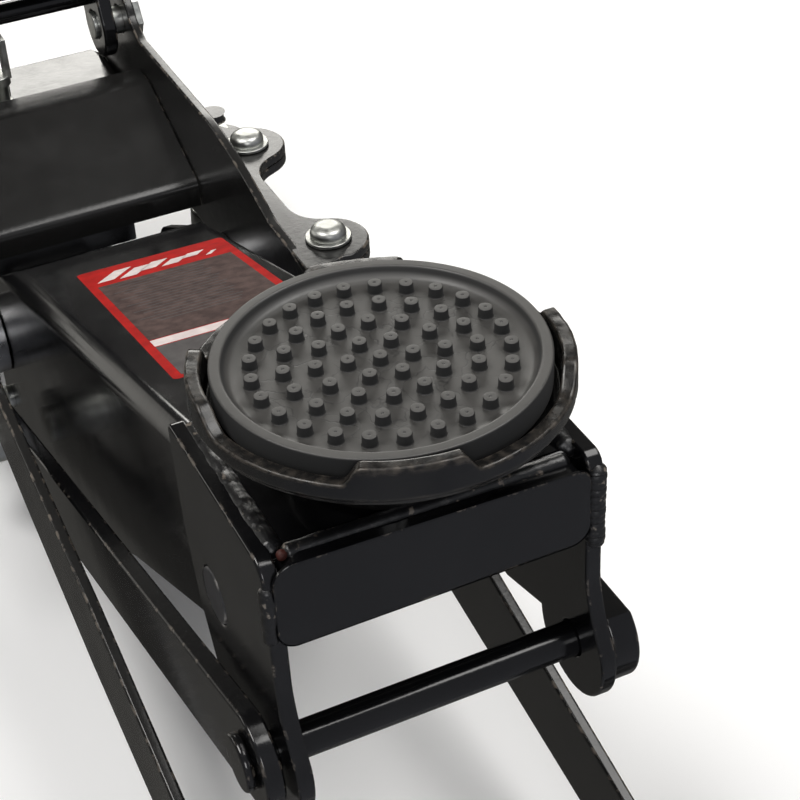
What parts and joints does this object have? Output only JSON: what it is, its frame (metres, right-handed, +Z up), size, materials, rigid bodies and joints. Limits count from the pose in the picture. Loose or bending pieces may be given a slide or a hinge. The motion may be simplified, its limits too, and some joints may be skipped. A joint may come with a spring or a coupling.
{
  "type": "hydraulic trolley jack",
  "caption": "Low-profile hydraulic trolley jack with studded swivel saddle, levelling lift arm, rollers, casters and pump handle.",
  "frame": {"origin": "on the ground below the middle of the jack's box", "axes": "+X from the handle to the saddle, +Z up, +Y across"},
  "size_m": [0.8846, 0.244, 0.9074],
  "materials": {
    "black_paint": "gloss",
    "black_casting": "satin",
    "rubber": "matte",
    "zinc": "satin",
    "steel": "satin",
    "roller": "satin",
    "soft_black": "matte",
    "label": "satin"
  },
  "bodies": {
    "frame": {"frame_plate_left": "black_paint", "frame_plate_right": "black_paint", "front_axle": "steel", "frame_tie_bolt": "zinc", "caster_mount_left": "black_paint", "caster_mount_right": "black_paint", "caster_front_bolt_left": "zinc", "caster_rear_bolt_left": "zinc", "caster_front_bolt_right": "zinc", "caster_rear_bolt_right": "zinc", "arm_pivot_shaft": "zinc", "arm_pivot_nut": "zinc", "arm_spacer_left": "steel", "arm_spacer_right": "steel", "link_rear_pin": "zinc", "pump_block": "black_casting", "block_bolt_lower": "zinc", "block_bolt_upper": "zinc", "lift_cylinder": "black_paint", "cylinder_gland": "zinc", "reservoir_cover": "black_paint", "power_unit_cover": "black_paint", "filler_plug": "soft_black", "pump_barrel": "zinc", "yoke_pin_left": "zinc", "yoke_pin_right": "zinc", "return_spring_left": "zinc", "return_spring_right": "zinc"},
    "front_roller_left": {"front_roller_left": "roller"},
    "front_roller_right": {"front_roller_right": "roller"},
    "caster_left": {"caster_fork_left": "zinc", "caster_axle_left": "zinc"},
    "caster_right": {"caster_fork_right": "zinc", "caster_axle_right": "zinc"},
    "caster_wheel_left": {"caster_wheel_left": "roller"},
    "caster_wheel_right": {"caster_wheel_right": "roller"},
    "arm": {"lift_arm": "black_paint", "arm_bush": "steel", "arm_roller_pin": "zinc"},
    "arm_roller": {"arm_roller": "steel"},
    "bracket": {"head_plate_left": "black_paint", "head_plate_right": "black_paint", "head_front_plate": "black_paint", "head_top_plate": "black_paint", "head_pivot_pin": "steel", "levelling_pin": "black_paint"},
    "link": {"levelling_link": "black_paint"},
    "saddle": {"saddle_cup": "black_casting", "saddle_pad": "rubber", "saddle_clip": "zinc"},
    "ram": {"ram": "steel", "ram_head": "steel"},
    "pump_piston": {"pump_piston": "steel"},
    "release_valve": {"release_valve": "zinc"},
    "yoke": {"handle_yoke": "black_paint"},
    "handle": {"handle_lower_tube": "black_paint", "handle_upper_tube": "black_paint", "handle_grip": "soft_black", "handle_screw": "soft_black", "release_rod": "steel"}
  },
  "joints": [
    {"name": "lift_arm", "type": "hinge", "parent": "frame", "child": "arm", "pos_m": [-0.06875, 0, 0.084], "axis": [0, -1, 0], "range_deg": [-19, 34], "deforming": ["return_spring_left", "return_spring_right"]},
    {"name": "bracket_level", "type": "hinge", "parent": "arm", "child": "bracket", "pos_m": [0.30125, 0, 0.2], "axis": [0, -1, 0], "range_deg": [-34.5, 19.5]},
    {"name": "link_swing", "type": "hinge", "parent": "frame", "child": "link", "pos_m": [-0.02275, -0.0655, 0.052], "axis": [0, -1, 0], "range_deg": [-19.5, 34.5]},
    {"name": "saddle_swivel", "type": "hinge", "parent": "bracket", "child": "saddle", "pos_m": [0.31925, 0, 0.29], "axis": [0, 0, 1], "continuous": true},
    {"name": "arm_roller_spin", "type": "hinge", "parent": "arm", "child": "arm_roller", "pos_m": [-0.07462, 0, 0.03939], "axis": [0, 1, 0], "continuous": true},
    {"name": "ram_slide", "type": "slide", "parent": "frame", "child": "ram", "axis": [1, 0, 0], "range_m": [-0.0148, 0.0262]},
    {"name": "handle_pump", "type": "hinge", "parent": "frame", "child": "yoke", "pos_m": [-0.22575, 0, 0.168], "axis": [0, -1, 0], "range_deg": [-8, 62]},
    {"name": "handle_twist", "type": "hinge", "parent": "yoke", "child": "handle", "pos_m": [-0.22575, 0, 0.168], "axis": [-0.2588, 0, 0.9659], "range_deg": [0, 90]},
    {"name": "piston_stroke", "type": "slide", "parent": "frame", "child": "pump_piston", "axis": [0, 0, 1], "range_m": [-0.0228, 0.0031]},
    {"name": "valve_turn", "type": "hinge", "parent": "frame", "child": "release_valve", "pos_m": [-0.22575, 0, 0.14], "axis": [0, 0, 1], "range_deg": [-1, 91]},
    {"name": "front_roller_spin_left", "type": "hinge", "parent": "frame", "child": "front_roller_left", "pos_m": [0.40425, -0.1, 0.038], "axis": [0, 1, 0], "continuous": true},
    {"name": "caster_swivel_left", "type": "hinge", "parent": "frame", "child": "caster_left", "pos_m": [-0.13575, -0.098, 0.084], "axis": [0, 0, 1], "continuous": true},
    {"name": "caster_spin_left", "type": "hinge", "parent": "caster_left", "child": "caster_wheel_left", "pos_m": [-0.14975, -0.098, 0.025], "axis": [0, 1, 0], "continuous": true},
    {"name": "front_roller_spin_right", "type": "hinge", "parent": "frame", "child": "front_roller_right", "pos_m": [0.40425, 0.1, 0.038], "axis": [0, 1, 0], "continuous": true},
    {"name": "caster_swivel_right", "type": "hinge", "parent": "frame", "child": "caster_right", "pos_m": [-0.13575, 0.098, 0.084], "axis": [0, 0, 1], "continuous": true},
    {"name": "caster_spin_right", "type": "hinge", "parent": "caster_right", "child": "caster_wheel_right", "pos_m": [-0.14975, 0.098, 0.025], "axis": [0, 1, 0], "continuous": true}
  ],
  "couplings": [
    {"joint": "bracket_level", "follows": "lift_arm", "ratio": -1},
    {"joint": "link_swing", "follows": "lift_arm", "ratio": 1},
    {"joint": "ram_slide", "follows": "lift_arm", "m_per_rad": 0.0437},
    {"joint": "piston_stroke", "follows": "handle_pump", "m_per_rad": -0.0209},
    {"joint": "valve_turn", "follows": "handle_twist", "ratio": 1}
  ]
}
